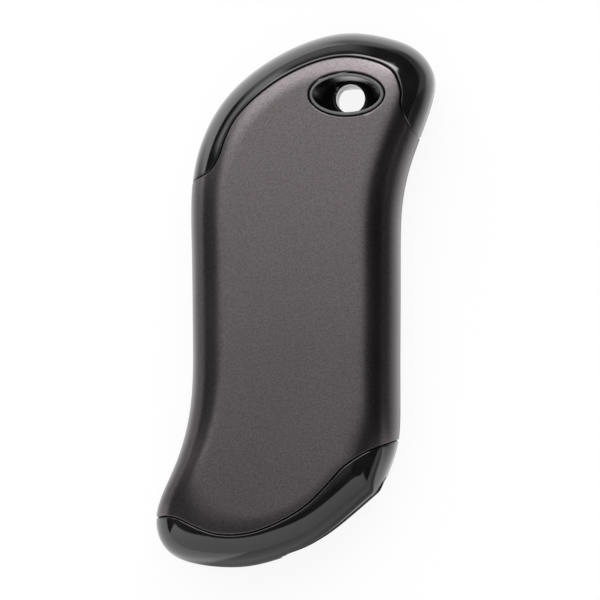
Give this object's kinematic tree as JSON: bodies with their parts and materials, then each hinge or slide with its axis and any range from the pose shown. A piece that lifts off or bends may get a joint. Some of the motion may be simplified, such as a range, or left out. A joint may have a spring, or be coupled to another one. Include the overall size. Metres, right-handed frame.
{
  "type": "rechargeable hand warmer",
  "caption": "Curved pebble-shaped pocket warmer with a satin metal body, gloss end caps, an oval lanyard eyelet and a recessed port panel with a push button.",
  "frame": {"origin": "middle of the flat rear face, on the surface that the hand warmer lies on", "axes": "+X across the body, +Y along it towards the lanyard eyelet, +Z out of the front face"},
  "size_m": [0.066, 0.126, 0.028],
  "materials": {
    "satin_aluminium": "dark grey satin anodised",
    "gloss_black": "polished black",
    "satin_black": "fine satin texture",
    "chassis_plastic": "moulded matte",
    "steel": "plated",
    "cell": "shrink sleeve",
    "fish_paper": "matte",
    "heater_film": "amber film",
    "foam_pad": "felted insulation",
    "board": "solder mask",
    "chip_black": "moulded",
    "ferrite": "matte",
    "clear": "clear",
    "lamp": "diffuse",
    "red_lead": "insulation",
    "black_lead": "insulation",
    "white_lead": "insulation"
  },
  "bodies": {
    "housing": {"front_shell": "satin_aluminium", "rear_shell": "satin_aluminium", "top_cap_front": "gloss_black", "top_cap_rear": "gloss_black", "bottom_cap_front": "gloss_black", "bottom_cap_rear": "gloss_black", "eyelet_front": "gloss_black", "eyelet_rear": "gloss_black", "port_panel": "satin_black", "tact_switch": "chip_black", "light_pipe": "clear", "led_1": "lamp", "led_2": "lamp", "led_3": "lamp", "led_4": "lamp", "usb_a_socket": "steel", "micro_usb_socket": "steel", "circuit_board": "board", "inductor": "ferrite", "boost_chip": "chip_black", "charge_chip": "chip_black", "controller_chip": "chip_black", "capacitor_1": "steel", "capacitor_2": "steel", "battery_cell_left": "cell", "battery_cell_right": "cell", "cell_insulator_left": "fish_paper", "cell_insulator_right": "fish_paper", "nickel_strip_positive": "steel", "nickel_strip_negative": "steel", "heater_film_front": "heater_film", "heater_film_rear": "heater_film", "insulation_pad_front": "foam_pad", "insulation_pad_rear": "foam_pad", "chassis_front": "chassis_plastic", "chassis_rear": "chassis_plastic", "chassis_screw_1": "steel", "chassis_screw_2": "steel", "chassis_screw_3": "steel", "chassis_screw_4": "steel", "thermistor": "chip_black", "thermistor_lead": "white_lead", "battery_lead_positive": "red_lead", "battery_lead_negative": "black_lead", "heater_lead_front_1": "white_lead", "heater_lead_front_2": "white_lead", "heater_lead_rear_1": "white_lead", "heater_lead_rear_2": "white_lead"},
    "button": {"power_button": "satin_black", "switch_plunger": "steel"}
  },
  "joints": [
    {"name": "button_press", "type": "slide", "parent": "housing", "child": "button", "axis": [-0.6252, 0.7804, 0], "range_m": [0, 0.0004], "stiffness_N_per_m": 800, "springref_m": -0.001}
  ]
}
